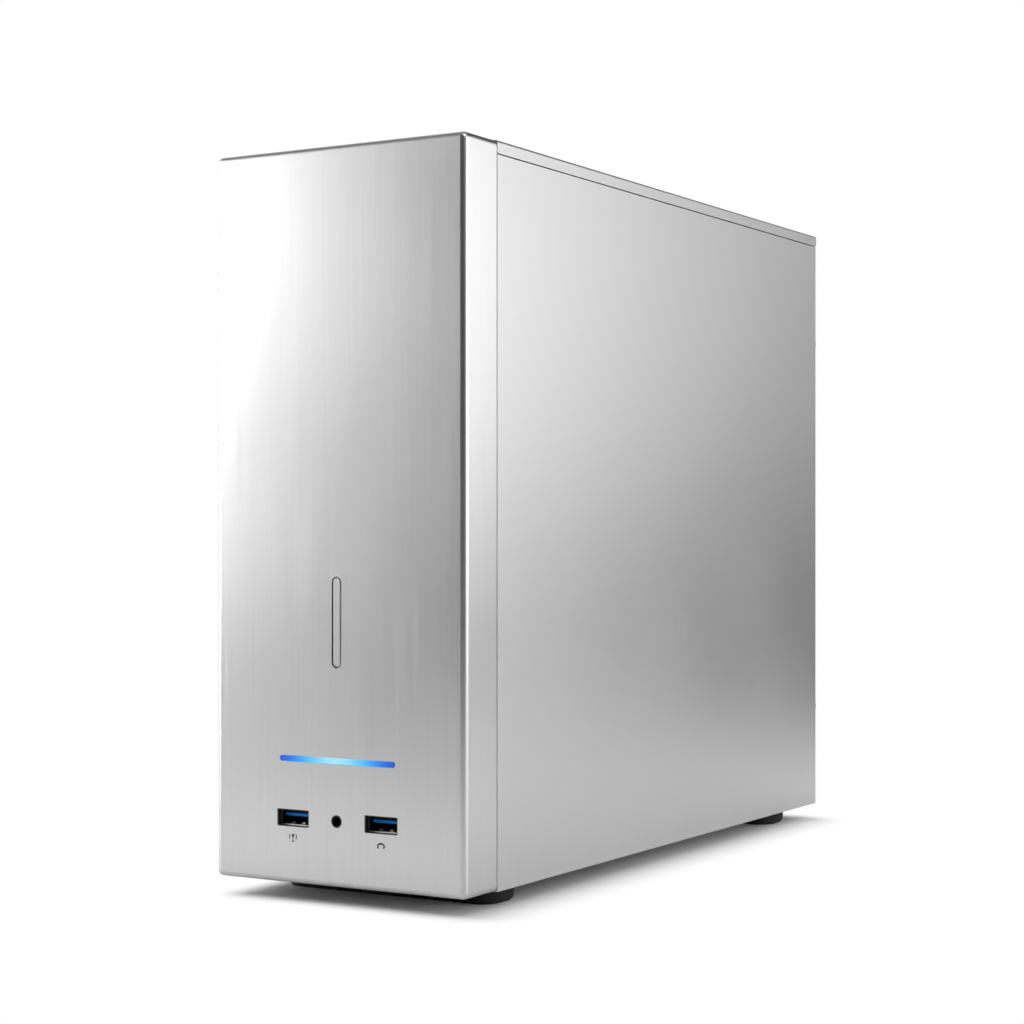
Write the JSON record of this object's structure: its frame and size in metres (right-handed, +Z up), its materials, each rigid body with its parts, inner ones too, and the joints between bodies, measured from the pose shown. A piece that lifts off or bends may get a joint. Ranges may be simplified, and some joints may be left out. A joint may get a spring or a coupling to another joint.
{
  "type": "desktop computer tower",
  "caption": "Slim upright desktop computer case with a brushed metal front, power bar button, light bar, front sockets, sliding side panels, and board, supply, drive and fans inside.",
  "frame": {"origin": "on the floor under the middle of the box round the whole tower", "axes": "+Z up; -Y out of the front; +X to the right seen from the front"},
  "size_m": [0.108, 0.3154, 0.272],
  "materials": {
    "bezel_metal": "vertically brushed, clear anodised",
    "panel_metal": "fine satin, clear anodised",
    "case_steel": "zinc-plated sheet",
    "light": "clear light guide, lit blue",
    "black_plastic": "moulded",
    "blue_plastic": "moulded",
    "socket_metal": "plated",
    "screw_metal": "plated",
    "foot_rubber": "matt",
    "board_green": "coated circuit board",
    "fan_plastic": "moulded",
    "sink_metal": "extruded",
    "supply_metal": "zinc-plated sheet",
    "drive_metal": "dark anodised",
    "white_plastic": "moulded",
    "cable": "sleeved"
  },
  "bodies": {
    "case": {"front_bezel": "bezel_metal", "power_switch": "black_plastic", "light_bar": "light", "front_board": "board_green", "port_frame": "black_plastic", "front_usb_left": "socket_metal", "front_usb_right": "socket_metal", "usb_tongue_left": "blue_plastic", "usb_tongue_right": "blue_plastic", "front_audio_jack": "black_plastic", "base_pan": "case_steel", "front_plate": "case_steel", "rear_panel": "case_steel", "top_rail_left": "case_steel", "top_rail_right": "case_steel", "top_cover": "panel_metal", "front_foot": "foot_rubber", "rear_foot": "foot_rubber", "foot_screws": "screw_metal", "rear_screws": "screw_metal", "slot_cover": "case_steel", "motherboard_tray": "case_steel", "motherboard": "board_green", "board_standoffs": "screw_metal", "board_screws": "screw_metal", "port_shield": "socket_metal", "rear_usb_ports": "socket_metal", "rear_network_port": "socket_metal", "rear_display_ports": "socket_metal", "rear_audio_jacks": "black_plastic", "processor_socket": "socket_metal", "cooler_heatsink": "sink_metal", "cooler_fan_frame": "fan_plastic", "memory_slots": "black_plastic", "memory_modules": "board_green", "expansion_slot": "black_plastic", "board_power_socket": "black_plastic", "chipset_heatsink": "sink_metal", "psu_case": "supply_metal", "psu_cover": "supply_metal", "psu_fan_frame": "fan_plastic", "psu_inlet": "black_plastic", "psu_switch": "black_plastic", "front_fan_frame": "fan_plastic", "drive": "drive_metal", "drive_bracket": "case_steel", "power_harness": "cable", "front_cable": "cable"},
    "left_panel": {"left_side_panel": "panel_metal", "left_thumbscrews": "screw_metal"},
    "right_panel": {"right_side_panel": "panel_metal", "right_thumbscrews": "screw_metal"},
    "power_button": {"power_button": "bezel_metal", "switch_plunger": "black_plastic"},
    "cooler_fan": {"cooler_fan_rotor": "fan_plastic"},
    "psu_fan": {"psu_fan_rotor": "fan_plastic"},
    "front_fan": {"front_fan_rotor": "fan_plastic"},
    "mains_rocker": {"psu_rocker": "black_plastic"},
    "front_latch": {"memory_latch_front": "white_plastic"},
    "back_latch": {"memory_latch_back": "white_plastic"}
  },
  "joints": [
    {"name": "left_panel_slide", "type": "slide", "parent": "case", "child": "left_panel", "axis": [0, 1, 0], "range_m": [0, 0.27]},
    {"name": "right_panel_slide", "type": "slide", "parent": "case", "child": "right_panel", "axis": [0, 1, 0], "range_m": [0, 0.27]},
    {"name": "power_button_press", "type": "slide", "parent": "case", "child": "power_button", "axis": [0, 1, 0], "range_m": [0, 0.001], "stiffness_N_per_m": 800, "springref_m": -0.001},
    {"name": "cooler_fan_spin", "type": "hinge", "parent": "case", "child": "cooler_fan", "pos_m": [0.00095, 0.0781, 0.134], "axis": [-1, 0, 0], "continuous": true},
    {"name": "psu_fan_spin", "type": "hinge", "parent": "case", "child": "psu_fan", "pos_m": [0, 0.0341, 0.2008], "axis": [0, 0, 1], "continuous": true},
    {"name": "front_fan_spin", "type": "hinge", "parent": "case", "child": "front_fan", "pos_m": [0, -0.1343, 0.179], "axis": [0, 1, 0], "continuous": true},
    {"name": "mains_rocker_tip", "type": "hinge", "parent": "case", "child": "mains_rocker", "pos_m": [0.0215, 0.1513, 0.245], "axis": [-1, 0, 0], "range_deg": [0, 18]},
    {"name": "front_latch_swing", "type": "hinge", "parent": "case", "child": "front_latch", "pos_m": [0.03215, 0.0013, 0.181], "axis": [0, 1, 0], "range_deg": [0, 28]},
    {"name": "back_latch_swing", "type": "hinge", "parent": "case", "child": "back_latch", "pos_m": [0.03215, 0.0109, 0.181], "axis": [0, 1, 0], "range_deg": [0, 28]}
  ]
}
